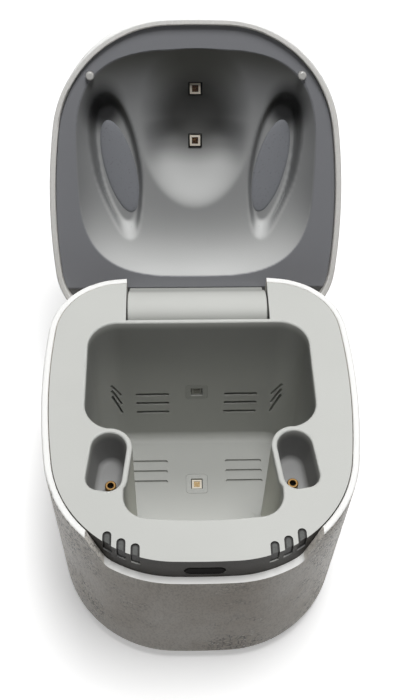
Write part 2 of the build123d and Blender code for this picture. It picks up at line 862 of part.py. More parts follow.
def dish_rise(x, y):
    """How far the lid's inner face is hollowed above its flange."""
    middle_y = (dish_front_y + dish_back_y) / 2
    half_length = (dish_back_y - dish_front_y) / 2
    across, along = abs(x) / dish_half_width, abs(y - middle_y) / half_length
    reach = (across**3.2 + along**3.2) ** (1 / 3.2)
    dish = dish_depth * (1 - reach**dish_steepness)
    bowl_across = x / bowl_half_width
    bowl_along = (y - bowl_centre_y) / bowl_half_length
    bowl = bowl_depth * soft_hill(math.hypot(bowl_across, bowl_along))
    open_rise = dish + bowl
    share = groove_share(abs(x) - groove_centre[0], y - groove_centre[1])
    return open_rise + share * max(groove_floor - flange_recess - open_rise, 0)


def groove_share(dx, dy):
    """1 over a groove's level floor, easing to 0 at its rim; narrower towards the hinge."""
    lean = math.radians(groove_lean)
    along = (-dx * math.sin(lean) + dy * math.cos(lean)) / groove_half_length
    across = (dx * math.cos(lean) + dy * math.sin(lean)) / groove_half_width
    narrow = 1 - 0.3 * smooth_share(along)
    return smooth_share((1 - math.hypot(across / narrow, along)) / groove_edge)


def liner_section(y):
    """The closed outline, at one distance from the hinge, of the room under the liner."""
    half = deck_width / 2 + 1
    flange, low = deck_height + flange_recess, deck_height - lid_height
    across = [half * (2 * step / liner_steps - 1) for step in range(liner_steps + 1)]
    points = [(x, y, flange + soft_floor(dish_rise(x, y))) for x in across]
    left, right = points[0], points[-1]
    left_low, right_low = (left[0], y, low), (right[0], y, low)
    edges = [Spline(*points), Line(right, right_low), Line(right_low, left_low), Line(left_low, left)]
    return Face(Wire(edges))


def sculpted_hollow():
    """The room under the liner: smooth through sections from its front to its back."""
    front, back = dish_front_y - liner_margin, dish_back_y + liner_margin
    sections = [
        liner_section(front + (back - front) * step / liner_sections) for step in range(liner_sections + 1)
    ]
    return loft(sections)


def pad_spot(side):
    """The seat of a lid pad: its own plane, leaning with the groove."""
    x, y = side * pad_centre[0], pad_centre[1]
    height = deck_height + groove_floor - pad_proud
    return Pos(x, y, height) * Rot(0, 0, side * groove_lean)


def swing_cylinder(radius):
    """A cylinder about the hinge: the casing's back rim passes inside it as the lid turns."""
    return Pos(0, hinge_axis_y, hinge_z) * Rot(0, 90, 0) * Cylinder(radius, big)


def make_lid_liner():
    """The lid's thin inner moulding: flange, dish, central bowl and two grooves."""
    outer_edge = shell_grow - lid_wall - liner_gap
    low = deck_height + flange_recess
    board_foot = deck_height + lid_board_rise
    hollow = sculpted_hollow()
    liner = outline_block(outer_edge, low, low + flange_thickness)
    liner += outline_block(outer_edge, low, board_foot) & Pos(0, 0, liner_wall) * hollow
    posts = Part() + [
        Pos(x, y, (low + board_foot) / 2) * Cylinder(post_radius, board_foot - low)
        for x, y in lid_board_posts
    ]
    boss = Pos(0, magnet_y, low) * Cylinder(
        magnet_boss_radius, magnet_cover + magnet_thickness, align=(Align.CENTER, Align.CENTER, Align.MIN)
    )
    liner += swing_cylinder(swing_radius + cove_wall) & outline_block(outer_edge, low, board_foot)
    liner += both_sides(posts)
    liner += boss & outline_block(0, low, board_foot)
    liner -= hollow
    liner -= swing_cylinder(swing_radius)
    for side in (1, -1):
        seat = extrude(Ellipse(pad_width / 2 + pad_gap, pad_length / 2 + pad_gap), pad_height)
        liner -= pad_spot(side) * seat
    opening = lamp_size + 2 * lamp_clearance
    for y in lid_lamp_ys:
        liner -= Pos(0, y, board_foot) * Box(opening, opening, lid_height)
    for side in (1, -1):
        x, y = side * bumper_centre[0], bumper_centre[1]
        liner -= Pos(x, y, low) * Cylinder(bumper_radius + bumper_gap, 2 * bumper_root)
    liner -= Pos(0, magnet_y, low + magnet_cover) * Cylinder(
        magnet_radius + bumper_gap, lid_height, align=(Align.CENTER, Align.CENTER, Align.MIN)
    )
    for x, y in lid_screw_points():
        liner -= Pos(x, y, low + flange_thickness) * Cylinder(
            screw_shank_radius + screw_clearance, 2 * lid_screw_bite
        )
    liner -= stop_plane_cutter()
    return liner.solids().sort_by(SortBy.VOLUME)[-1]


def lid_screw_points():
    return [(sign * x, y) for x, y in lid_screw_places for sign in (1, -1)]


def make_lid_pad(side):
    """An oval cushion pad, its face a low crown."""
    pad = extrude(Ellipse(pad_width / 2, pad_length / 2), pad_height)
    pad = fillet(pad.edges().group_by(Axis.Z)[0], 0.5)
    return pad_spot(side) * pad


def make_bumper(side):
    top = flange_recess + bumper_root
    bumper = Pos(0, 0, deck_height + bumper_clearance) * Cylinder(
        bumper_radius, top - bumper_clearance, align=(Align.CENTER, Align.CENTER, Align.MIN)
    )
    bumper = fillet(bumper.edges().group_by(Axis.Z)[0], 0.6)
    return Pos(side * bumper_centre[0], bumper_centre[1], 0) * bumper


def make_hinge_knuckle():
    """The barrel that turns in the tray's trough, and the neck that carries the lid."""
    barrel = Rot(0, 90, 0) * Cylinder(barrel_radius, barrel_length)
    lean = math.radians(open_angle)
    flange_rise = deck_height + flange_recess - hinge_z
    wall = deck_back_y + shell_grow + stop_gap - hinge_axis_y
    stop_y = (flange_rise * math.sin(lean) - wall) / -math.cos(lean)
    climb = 2.6
    corner = (stop_y + climb, flange_rise + climb * -math.cos(lean) / math.sin(lean))
    neck_profile = make_face(
        Polyline(
            (-neck_front, 0), (-neck_front, flange_rise), (stop_y, flange_rise), corner, (4.0, 0), close=True
        )
    )
    neck = extrude(Plane.YZ * neck_profile, barrel_length / 2, both=True)
    knuckle = Pos(0, hinge_axis_y, hinge_z) * (barrel + neck)
    knuckle -= Pos(0, hinge_axis_y, hinge_z) * Rot(0, 90, 0) * Cylinder(
        pin_radius + pin_running_gap, big
    )
    ends = knuckle.faces().sort_by(Axis.X)[0].edges() + knuckle.faces().sort_by(Axis.X)[-1].edges()
    return chamfer(ends.sort_by(SortBy.LENGTH)[2:], barrel_end_chamfer)


def make_lid_lamp(y, lift):
    """A lid lamp on its short pedestal, facing down from the lid's board."""
    pedestal = Box(lamp_size, lamp_size, lift, align=(Align.CENTER, Align.CENTER, Align.MIN))
    lamp = pedestal + Pos(0, 0, lift) * lamp_package()
    return Pos(0, y, deck_height + lid_board_rise) * Rot(180, 0, 0) * lamp


def make_lid_lamp_board():
    length = abs(lid_lamp_ys[0] - lid_lamp_ys[1]) + 1.7 * lamp_board_size
    middle = sum(lid_lamp_ys) / 2
    z = deck_height + lid_board_rise + board_thickness / 2
    return Pos(0, middle, z) * Box(lamp_board_size, length, board_thickness)


def make_lid_magnet():
    z = deck_height + flange_recess + magnet_cover + magnet_thickness / 2
    return Pos(0, magnet_y, z) * Cylinder(magnet_radius, magnet_thickness)


def make_lid_screws():
    screws = []
    foot = deck_height + flange_recess + flange_thickness
    for x, y in lid_screw_points():
        middle = foot + lid_screw_length / 2 - lid_screw_bite
        screw = Pos(x, y, middle) * Cylinder(screw_shank_radius, lid_screw_length)
        screws.append(screw.solid())
    return Compound(children=screws)


# ---------------------------------------------------------------- all pieces
nodes["base_shell"] = make_base_shell()
nodes["base_plate"] = make_base_plate()
nodes["foot_pad"] = make_foot_pad()
nodes["base_screws"] = make_base_screws()
nodes["inner_tray"] = make_inner_tray()
for name, side in (("left", -1), ("right", 1)):
    for number, x in enumerate(window_xs, 1):
        nodes[f"status_window_{name}_{number}"] = make_status_window(side * x)
    nodes[f"status_board_{name}"] = make_status_board(side)
    nodes[f"contact_ring_{name}"] = make_contact_ring(side)
    nodes[f"contact_socket_{name}"] = make_contact_socket(side)
nodes["floor_lamp"] = floor_lamp_spot(-chamber_wall) * lamp_package()
nodes["floor_lamp_board"] = floor_lamp_spot(-chamber_wall) * lamp_board()
nodes["floor_lamp_bezel"] = floor_lamp_spot(-bezel_depth) * bezel()
nodes["back_lamp"] = back_lamp_spot(-back_wall_thickness) * lamp_package()
nodes["back_lamp_board"] = back_lamp_spot(-back_wall_thickness) * lamp_board()
nodes["back_lamp_bezel"] = back_lamp_spot(-bezel_depth) * bezel()
nodes["air_duct"] = make_air_duct()
nodes["heater"] = make_heater()
nodes["fan_frame"] = make_fan_frame()
nodes["fan_rotor"] = make_fan_rotor()
nodes["main_board"] = make_main_board()
nodes["controller_chip"] = make_controller_chip()
nodes["usb_socket"] = make_usb_socket()
nodes["hinge_pin"] = make_hinge_pin()
nodes["button_switch"] = make_button_switch()
nodes["start_button"] = make_start_button()
lid_nodes = {
    "lid_shell": make_lid_shell(),
    "lid_liner": make_lid_liner(),
    "hinge_knuckle": make_hinge_knuckle(),
    "lid_pad_left": make_lid_pad(-1),
    "lid_pad_right": make_lid_pad(1),
    "bumper_left": make_bumper(-1),
    "bumper_right": make_bumper(1),
    "lid_lamp_front": make_lid_lamp(lid_lamp_ys[0], lid_lamp_lifts[0]),
    "lid_lamp_rear": make_lid_lamp(lid_lamp_ys[1], lid_lamp_lifts[1]),
    "lid_lamp_board": make_lid_lamp_board(),
    "lid_magnet": make_lid_magnet(),
    "lid_screws": make_lid_screws(),
}
for name, part in lid_nodes.items():
    nodes[name] = opened(part)

os.makedirs("parts", exist_ok=True)
for name, part in nodes.items():
    export_step(part, f"parts/{name}.step")
    print(name, len(part.solids()), round(part.volume, 1), flush=True)
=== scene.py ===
# %% [markdown]
# # Hearing aid dryer
# A desk-top dryer for a pair of hearing aids: a white tub, a light grey tray with one large chamber and two
# charging wells, and a hinged lid whose inside is sculpted round two dark oval pads. The measured solids come
# in as a fixed frame. Everything made here is either a finish for those solids, or a finer piece for the few
# places where the real object is soft or very small.

# %% Load the solids
import math
import json

import bpy
import bmesh
from mathutils import Vector, Matrix


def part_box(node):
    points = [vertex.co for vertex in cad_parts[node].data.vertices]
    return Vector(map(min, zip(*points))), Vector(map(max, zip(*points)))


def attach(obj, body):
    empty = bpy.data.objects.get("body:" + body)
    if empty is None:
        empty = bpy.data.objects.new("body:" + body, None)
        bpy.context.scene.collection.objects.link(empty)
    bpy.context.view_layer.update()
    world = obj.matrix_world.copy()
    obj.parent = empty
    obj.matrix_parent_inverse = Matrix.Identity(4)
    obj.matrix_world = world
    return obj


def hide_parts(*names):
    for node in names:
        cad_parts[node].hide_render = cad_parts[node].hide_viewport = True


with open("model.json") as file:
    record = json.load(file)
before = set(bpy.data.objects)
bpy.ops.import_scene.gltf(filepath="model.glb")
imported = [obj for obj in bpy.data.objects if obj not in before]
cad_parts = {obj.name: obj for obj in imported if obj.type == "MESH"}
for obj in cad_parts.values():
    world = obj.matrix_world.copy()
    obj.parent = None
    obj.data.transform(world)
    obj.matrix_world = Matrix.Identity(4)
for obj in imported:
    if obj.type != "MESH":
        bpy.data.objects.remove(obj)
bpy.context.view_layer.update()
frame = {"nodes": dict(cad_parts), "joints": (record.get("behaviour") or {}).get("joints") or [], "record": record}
nodes = frame["nodes"]
mm = 0.001

# %% [markdown]
# ## Camera
# The photograph looks down at 53 degrees from just left of the middle, with the camera turned a little. A
# camera's axes are the columns of its matrix: X to the right, Y up, and Z back towards the eye. They are worked
# out from yaw, pitch and roll, so that each of the three angles can be changed by itself.

# %% Camera from yaw, pitch and roll
yaw, pitch, roll = 0.0508, 0.9336, 0.0309
eye = Vector((-8.774, -157.51, 313.66)) * mm
forward = Vector((math.sin(yaw) * math.cos(pitch), math.cos(yaw) * math.cos(pitch), -math.sin(pitch)))
right = Vector((math.cos(yaw), -math.sin(yaw), 0))
up = right.cross(forward)
right_rolled = right * math.cos(roll) + up * math.sin(roll)
up_rolled = up * math.cos(roll) - right * math.sin(roll)
turn = Matrix((right_rolled, up_rolled, -forward)).transposed()

camera_data = bpy.data.cameras.new("camera")
camera_data.lens = 49.2
camera_data.sensor_width = 36.0
camera_data.clip_start = 0.01
camera = bpy.data.objects.new("camera", camera_data)
camera.matrix_world = Matrix.Translation(eye) @ turn.to_4x4()
bpy.context.scene.collection.objects.link(camera)
bpy.context.scene.camera = camera
bpy.context.scene.view_settings.view_transform = "Standard"
print("camera at", [round(v, 3) for v in camera.location], "lens", camera_data.lens)

# %% [markdown]
# ## Light
# In the photograph everything that faces up is nearly white, everything upright is dark, and the lid's hollow is
# dark at its top and bright at its foot: the light comes from overhead and from behind. Two area lamps, one over
# the object and one behind it, stand for the softboxes, and a dim one in front keeps detail in the upright
# walls. The larger an area lamp is, the softer its shadows.

# %% Soft lamps
def area_lamp(name, place, aim, size, power):
    lamp = bpy.data.lights.new(name, "AREA")
    lamp.shape = "RECTANGLE"
    lamp.size, lamp.size_y = size
    lamp.energy = power
    holder = bpy.data.objects.new(name, lamp)
    holder.location = place
    holder.rotation_euler = (Vector(aim) - Vector(place)).to_track_quat("-Z", "Y").to_euler()
    bpy.context.scene.collection.objects.link(holder)
    print("lamp", name, power, "W")
    return holder


area_lamp("overhead", (0.07, 0.0, 0.85), (0, 0.02, 0.06), (0.34, 0.24), 5.0)
area_lamp("behind", (0.05, 0.42, 0.80), (0, 0.02, 0.06), (0.45, 0.34), 1.7)
area_lamp("front_fill", (-0.45, -0.75, 0.30), (0, 0, 0.06), (0.5, 0.3), 0.25)

# %% [markdown]
# ## Writing shader maths as expressions
# A node tree for worn plastic has dozens of small sums. One class wraps a socket, so that a sum written in
# Python adds the Math nodes for it, and one method adds any other node.

# %% A wrapped socket and a node maker
class Link:
    """A socket of a node tree, with arithmetic."""

    def __init__(self, maker, socket):
        self.maker, self.socket = maker, socket

    def maths(self, operation, *others, swap=False):
        values = [*others, self] if swap else [self, *others]
        return self.maker.node("ShaderNodeMath", {"operation": operation}, values)

    def __add__(self, other):
        return self.maths("ADD", other)

    def __sub__(self, other):
        return self.maths("SUBTRACT", other)

    def __mul__(self, other):
        return self.maths("MULTIPLY", other)

    def __rsub__(self, other):
        return self.maths("SUBTRACT", other, swap=True)

    __radd__, __rmul__ = __add__, __mul__


class Finish:
    """A material being built: makes nodes, links them and sets the shader's sockets."""

    def __init__(self, name):
        self.material = bpy.data.materials.new(name)
        self.material.use_nodes = True
        self.tree = self.material.node_tree
        self.shader = self.tree.nodes["Principled BSDF"]

    def put(self, socket, value):
        if isinstance(value, Link):
            self.tree.links.new(value.socket, socket)
        else:
            socket.default_value = value

    def node(self, kind, settings=None, inputs=None, output=0):
        made = self.tree.nodes.new(kind)
        for key, value in (settings or {}).items():
            setattr(made, key, value)
        pairs = inputs.items() if isinstance(inputs, dict) else enumerate(inputs or [])
        for key, value in pairs:
            self.put(made.inputs[key], value)
        return Link(self, made.outputs[output])

    def set(self, **sockets):
        for key, value in sockets.items():
            self.put(self.shader.inputs[key.replace("_", " ")], value)
        return self

    def place(self, kind="Object"):
        return self.node("ShaderNodeTexCoord", output=kind)

    def parts(self, vector):
        """The three numbers of a vector."""
        split = self.tree.nodes.new("ShaderNodeSeparateXYZ")
        self.put(split.inputs[0], vector)
        return [Link(self, output) for output in split.outputs]

    def noise(self, scale, detail=2.0, rough=0.5, stretch=None):
        where = self.place()
        if stretch:
            where = self.node("ShaderNodeVectorMath", {"operation": "MULTIPLY"}, [where, stretch])
        return self.node(
            "ShaderNodeTexNoise", None, {"Vector": where, "Scale": scale, "Detail": detail, "Roughness": rough}
        )

    def step(self, value, low, high):
        """Eases from 0 to 1 as the value goes from low to high."""
        return self.node(
            "ShaderNodeMapRange",
            {"interpolation_type": "SMOOTHSTEP"},
            {"Value": value, "From Min": low, "From Max": high},
        )

    def mix(self, share, first, second):
        return self.node("ShaderNodeMix", {"data_type": "RGBA"}, {0: share, 6: first, 7: second}, output=2)

    def bump(self, height, depth, strength=1.0):
        return self.node("ShaderNodeBump", None, {"Height": height, "Distance": depth, "Strength": strength})


def tone(red, green, blue):
    """A colour as it looks on the screen, 0 to 255, turned into the linear light that shaders use."""
    linear = []
    for value in (red, green, blue):
        share = value / 255
        linear.append(share / 12.92 if share <= 0.04045 else ((share + 0.055) / 1.055) ** 2.4)
    return (*linear, 1.0)


# %% [markdown]
# ## White surroundings that add no light
# The world is a dim even fill for the object. Rays that come from the camera, from gloss or through glass see
# white instead. The floor does the same by its colour: to those rays it is white paper, which still takes the
# object's shadow, and to the light that bounces about it is a plain grey, so it doesn't light the walls.

# %% World
def seen_directly(tree):
    """1 for a ray from the camera, from gloss or through glass, and 0 for any other."""
    path = tree.nodes.new("ShaderNodeLightPath")
    latest = path.outputs["Is Camera Ray"]
    for kind in ("Is Glossy Ray", "Is Transmission Ray"):
        either = tree.nodes.new("ShaderNodeMath")
        either.operation = "MAXIMUM"
        tree.links.new(latest, either.inputs[0])
        tree.links.new(path.outputs[kind], either.inputs[1])
        latest = either.outputs[0]
    return latest


fill_level = 0.04
world = bpy.data.worlds.new("surroundings")
world.use_nodes = True
bpy.context.scene.world = world
background = world.node_tree.nodes["Background"]
level = world.node_tree.nodes.new("ShaderNodeMapRange")
level.inputs["To Min"].default_value = fill_level
world.node_tree.links.new(seen_directly(world.node_tree), level.inputs["Value"])
world.node_tree.links.new(level.outputs[0], background.inputs["Strength"])
background.inputs["Color"].default_value = (1, 1, 1, 1)
print("fill level", fill_level)

# %% Floor
reach = 1.5
floor_corners = [(-reach, -reach, 0), (reach, -reach, 0), (reach, reach, 0), (-reach, reach, 0)]
floor_mesh = bpy.data.meshes.new("floor")
floor_mesh.from_pydata(floor_corners, [], [(0, 1, 2, 3)])
floor = bpy.data.objects.new("floor", floor_mesh)
bpy.context.scene.collection.objects.link(floor)

paper = Finish("pale_floor")
direct = Link(paper, seen_directly(paper.tree))
x, y, z = paper.parts(paper.place())
far = paper.step(x.maths("POWER", 2.0).maths("ADD", y.maths("POWER", 2.0)), 0.02, 0.20)
paper.set(
    Base_Color=paper.mix(direct, tone(120, 120, 120), tone(252, 252, 252)),
    Emission_Color=paper.mix(direct * (far * 0.55 + 0.38), (0, 0, 0, 1), (1, 1, 1, 1)),
    Emission_Strength=1.0,
    Roughness=0.9,
)
floor_mesh.materials.append(paper.material)
print("floor", 2 * reach, "m wide")

# %% [markdown]
# ## The lid's own space
# The lid rests open, so a piece for it is easiest to build as if the lid were shut and level. One matrix, from
# the hinge's place and its opening angle, then swings it up to where it belongs.

# %% From the closed lid to the open one
hinge = next(joint for joint in frame["joints"] if joint["name"] == "lid_hinge")
hinge_point = Vector(hinge["pos_m"])
swing = Matrix.Rotation(-math.radians(hinge["range_deg"][1]), 4, "X")
closed_to_open = Matrix.Translation(hinge_point) @ swing @ Matrix.Translation(-hinge_point)


def span(name, view=Matrix()):
    """A node's lowest and highest corners, seen through a matrix."""
    points = [view @ vertex.co for vertex in nodes[name].data.vertices]
    low = Vector([min(point[i] for point in points) for i in range(3)])
    high = Vector([max(point[i] for point in points) for i in range(3)])
    return low, high


def new_piece(name, mesh, finish, body):
    piece = bpy.data.objects.new(name, mesh)
    bpy.context.scene.collection.objects.link(piece)
    mesh.materials.append(finish)
    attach(piece, body)
    return piece


def lamp_places():
    """Where the two lid lamps are, lid shut, in millimetres."""
    places = []
    for name in ("lid_lamp_front", "lid_lamp_rear"):
        low, high = span(name, closed_to_open.inverted())
        places.append(((low.x + high.x) / 2 / mm, (low.y + high.y) / 2 / mm))
    return places


pad_low, pad_high = span("lid_pad_left", closed_to_open.inverted())
print("left pad, lid shut, mm:", [round(v / mm, 2) for v in (*pad_low, *pad_high)])

# %% [markdown]
# ## Worn white plastic, with painted shade
# The tub and the lid's cover are one white moulding plastic. The rim is clean and bright, and everything outside
# is a warmer grey: partly handling, a warm haze, and partly painted shade of the upright sides. On it lie fine
# crackle where the corners have crazed, dark specks and upright scuffs, and the front corners are a little
# lighter, a painted highlight. Each mark is noise at its own size, cut to a mask, and the same masks lower the
# surface a little. A mask from the surface's direction keeps them off the rim.

# %% White moulding
def white_plastic(name, wear_and_shade):
    f = Finish(name)
    facing = f.parts(f.node("ShaderNodeNewGeometry", output="Normal"))[2]
    upright = 1 - f.step(facing, 0.35, 0.75)
    haze = f.step(f.noise(30, 5, 0.6), 0.35, 0.7)
    x, y, z = f.parts(f.place())
    corners = f.step(x.maths("ABSOLUTE"), 0.024, 0.042) * f.step(y * -1.0, -0.004, 0.026)
    patches = f.step(f.noise(55, 3, 0.6) + corners * 0.20, 0.50, 0.66)
    crackle = f.node(
        "ShaderNodeTexVoronoi",
        {"feature": "DISTANCE_TO_EDGE"},
        {"Vector": f.place(), "Scale": 620.0, "Randomness": 1.0},
    )
    crackle = (1 - f.step(crackle, 0.02, 0.12)) * patches * f.step(f.noise(420, 3), 0.36, 0.54)
    crackle = crackle * (f.step(y * -1.0, -0.004, 0.026) * 0.75 + 0.25)
    specks = f.step(f.noise(1150, 3, 0.7), 0.635, 0.70)
    scuffs = f.step(f.noise(330, 4, 0.65, (1.0, 1.0, 0.12)), 0.60, 0.70)
    pale = f.step(f.noise(700, 4, 0.7, (1.0, 1.0, 0.5)), 0.56, 0.68) * patches
    mottle = f.step(f.noise(1500, 3, 0.6, (1.0, 1.0, 0.45)), 0.42, 0.66)
    colour = f.mix(haze, tone(213, 206, 195), tone(198, 189, 177))
    # The front corners are a little lighter: a painted highlight.
    colour = f.mix(corners * 0.6, colour, tone(236, 230, 220))
    colour = f.mix(mottle * 0.38, colour, tone(140, 131, 119))
    colour = f.mix(pale * 0.8, colour, tone(252, 250, 244))
    colour = f.mix(scuffs * 0.45, colour, tone(158, 148, 136))
    colour = f.mix(specks * 0.7, colour, tone(96, 86, 76))
    colour = f.mix(crackle * 0.9, colour, tone(70, 62, 54))
    # Up-facing faces, the rim, stay clean white; upright faces take the warmer grey, partly handling and partly painted
    # shade.
    colour = f.mix(upright * wear_and_shade, tone(247, 247, 245), colour)
    grain = f.noise(2600, 2)
    height = grain * 0.3 - (scuffs * 0.5 + specks * 0.5 + crackle) * upright * wear_and_shade
    return f.set(
        Base_Color=colour,
        Roughness=haze * 0.14 + 0.34,
        Normal=f.bump(height, 0.00010, 0.6),
        Specular_IOR_Level=0.22,
    ).material


# %% [markdown]
# ## Moulded grey plastics
# The tray and the lid's liner have the even, fine grain that spark erosion leaves in a mould: too small to see
# as marks, but it makes the highlights soft. A slow cloud of noise keeps a large face from being one flat
# colour. Much of their shading is painted into the colour, each mask a place: in the tray, painted shade darkens
# the chamber's inside, its upper walls, the wells and the front band under the edge of the deck, whose mask is
# simply where that band is: in front of the deck's edge and facing forward; painted light brightens the front
# of the chamber floor and the front lobe's walls. On the liner, painted shade darkens faces that turn away from
# up, the upper bowl, the tops of the grooves and the flange.

# %% Tray and liner
deck_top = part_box("inner_tray")[1][2]
print("deck top, mm:", round(deck_top / mm, 2))


def grained(f, colour, darker, roughness, depth):
    cloud = f.step(f.noise(24, 3), 0.3, 0.7)
    grain = f.noise(3200, 2)
    f.set(
        Base_Color=f.mix(cloud, colour, darker),
        Roughness=f.step(grain, 0.3, 0.7) * 0.1 + roughness,
        Normal=f.bump(grain, depth, 0.5),
        Specular_IOR_Level=0.16,
    )
    return f.mix(cloud, colour, darker)


def tray_plastic(name):
    f = Finish(name)
    colour = grained(f, tone(203, 204, 200), tone(199, 200, 196), 0.42, 0.00006)
    x, y, z = f.parts(f.place())
    facing = f.parts(f.node("ShaderNodeNewGeometry", output="Normal"))[1]
    # Painted shade: the chamber's inside, below the deck, is darker.
    inside = 1 - f.step(z, deck_top - 4.0 * mm, deck_top - 0.5 * mm)
    colour = f.mix(inside * 0.9, colour, tone(168, 169, 165))
    level = f.step(f.parts(f.node("ShaderNodeNewGeometry", output="Normal"))[2], 0.6, 0.9)
    # Painted light: the front of the chamber floor is lighter.
    colour = f.mix(inside * level * f.step(y * -1.0, -0.014, 0.018), colour, tone(198, 199, 195))
    # Painted shade: the chamber's walls are darker towards their tops.
    colour = f.mix(inside * (1 - level) * f.step(z, 0.038, 0.066) * 0.7, colour, tone(136, 137, 134))
    # Painted light: the walls of the chamber's front lobe are lighter.
    colour = f.mix(inside * (1 - level) * f.step(y * -1.0, 0.006, 0.018) * 0.8, colour, tone(236, 236, 226))
    # Painted shade: the wells are darker.
    in_well = inside * f.step(x.maths("ABSOLUTE"), 0.021, 0.024) * (1 - f.step(y, -0.006, -0.001))
    colour = f.mix(in_well * 0.9, colour, tone(132, 132, 132))
    # Painted shade: the front band under the deck's edge is darker.
    front_band = f.step(y * -1.0, 0.030, 0.034) * f.step(facing * -1.0, 0.35, 0.6)
    return f.set(Base_Color=f.mix(front_band * 0.95, colour, tone(48, 44, 41))).material


def shut_places(f):
    """Where a point of the lid is with the lid shut: across, forward and up, in millimetres."""
    x, y, z = f.parts(f.place())
    rows = closed_to_open.inverted()
    forward, up = (y * (row[1] / mm) + z * (row[2] / mm) + row[3] / mm for row in (rows[1], rows[2]))
    return x * (1 / mm), forward, up


def shaded_oval(f, x, y, centre, half):
    """1 in the middle of an oval, easing to 0 at its edge."""
    aside, ahead = (x - centre[0]) * (1 / half[0]), (y - centre[1]) * (1 / half[1])
    return 1 - f.step((aside * aside + ahead * ahead).maths("SQRT"), 0.35, 1.0)


def liner_plastic(name):
    f = Finish(name)
    colour = grained(f, tone(200, 201, 200), tone(195, 196, 195), 0.36, 0.00005)
    up = f.parts(f.place("Normal"))[2]
    x, y, height = shut_places(f)
    # Painted shade: faces turned away from up are darker, and faces that look down darker still.
    colour = f.mix(1 - f.step(up, 0.30, 0.85), colour, tone(124, 125, 126))
    colour = f.mix(1 - f.step(up, -0.35, 0.40), colour, tone(102, 102, 97))
    # Painted shade in the upper bowl and at the tops of the grooves.
    bowl = shaded_oval(f, x, y, (0.0, -20.5), (19.5, 17.5))
    groove = shaded_oval(f, x.maths("ABSOLUTE"), y, (30.0, -24.5), (8.5, 11.0))
    colour = f.mix(bowl * 0.9, colour, tone(42, 42, 40))
    colour = f.mix(groove * 0.95, colour, tone(22, 22, 24))
    # Painted shade: the flange is a darker grey than the hollow.
    flange = 1 - f.step(height - (deck_top / mm + 2.0), 0.1, 0.5)
    colour = f.mix(flange, colour, tone(135, 136, 140))
    for lamp_x, lamp_y in lamp_places():
        away = x.maths("ABSOLUTE").maths("MAXIMUM", (y - lamp_y).maths("ABSOLUTE"))
        colour = f.mix(1 - f.step(away, 2.25, 2.40), colour, tone(14, 13, 12))
    return f.set(Base_Color=colour).material


# %% [markdown]
# ## Smoked status windows
# From above each window shows a pale light pipe inside a dark smoked border, and its front end is nearly black.
# Generated coordinates run from 0 to 1 over each piece's own box, so one finish fits all six windows.

# %% Window
def window_smoke(name, wide=2.3, long=3.65):
    f = Finish(name)
    across, along, height = f.parts(f.place("Generated"))
    aside = (across - 0.5) * wide
    ahead = ((along - 1.0) * long + wide / 2).maths("MAXIMUM", 0.0)
    away = (aside * aside + ahead * ahead).maths("SQRT")
    facing = f.parts(f.node("ShaderNodeNewGeometry", output="Normal"))[2]
    pipe = (1 - f.step(away, 0.42, 0.95)) * f.step(facing, 0.6, 0.9)
    mottle = f.step(f.noise(1800, 2), 0.35, 0.65)
    colour = f.mix(pipe, tone(24, 22, 21), tone(92, 94, 92))
    return f.set(
        Base_Color=f.mix(mottle * 0.25, colour, tone(40, 38, 36)), Roughness=mottle * 0.1 + 0.3, Specular_IOR_Level=0.15
    ).material


# %% [markdown]
# ## The small finishes
# Boards, screws, rubber and metal are too small or too hidden for a tree of their own. One helper gives each
# its colour, gloss and a fine speckle, so that none is a flat colour.

# %% One helper for the rest
def speckled(name, colour, roughness=0.5, metallic=0.0, coat=0.0, grain=0.0, size=1500, shine=0.3):
    f = Finish(name)
    speck = f.noise(size, 2)
    shade = tuple(value * 0.72 for value in colour[:3]) + (1.0,)
    f.set(
        Base_Color=f.mix(f.step(speck, 0.3, 0.75) * 0.25, colour, shade),
        Roughness=speck * 0.12 + roughness - 0.06,
        Metallic=metallic,
        Coat_Weight=coat,
        Specular_IOR_Level=shine,
    )
    if grain:
        f.set(Normal=f.bump(speck, grain, 0.5))
    return f.material


finishes = {
    "shell_white": white_plastic("worn_and_shaded_white_plastic", 1.0),
    "tray_grey": tray_plastic("tray_plastic"),
    "liner_grey": liner_plastic("liner_plastic"),
    "bumper_clear": speckled("bumper_rubber", tone(188, 187, 184), 0.3, coat=0.4),
    "window_smoke": window_smoke("smoked_window"),
    "button_black": speckled("button_black", tone(11, 9, 8), 0.6, shine=0.04),
    "contact_gold": speckled("contact_gold", tone(122, 96, 60), 0.5, metallic=1.0, grain=0.00006),
    "socket_black": speckled("socket_black", tone(14, 14, 14), 0.7, shine=0.06),
    "lamp_ceramic": speckled("lamp_ceramic", tone(228, 220, 205), 0.5),
    "bezel_grey": speckled("bezel_grey", tone(178, 179, 175), 0.4),
    "board_green": speckled("board_mask", tone(28, 32, 28), 0.4),
    "chip_black": speckled("chip_black", tone(30, 30, 30), 0.5),
    "inner_black": speckled("inner_black", tone(38, 38, 38), 0.6),
    "metal_bright": speckled("bright_steel", tone(185, 186, 188), 0.3, metallic=1.0),
    "heater_metal": speckled("heater_fins", tone(198, 199, 201), 0.4, metallic=1.0),
    "foot_rubber": speckled("foot_rubber", tone(40, 40, 40), 0.8, grain=0.0002),
}
print("finishes:", len(finishes))

# %% Put the finishes on the solids
lid_white = white_plastic("worn_and_shaded_white_lid", 0.35)
for part in frame["record"]["subparts"]:
    solid = nodes[part["node"]]
    solid.data.materials.clear()
    solid.data.materials.append(finishes.get(part["material_slot"]))
nodes["lid_shell"].data.materials[0] = lid_white
nodes["back_lamp"].data.materials[0] = speckled("shaded_ceramic", tone(158, 158, 152), 0.6, shine=0.1)
nodes["back_lamp_bezel"].data.materials[0] = speckled("shaded_bezel", tone(165, 166, 162), 0.5, shine=0.1)

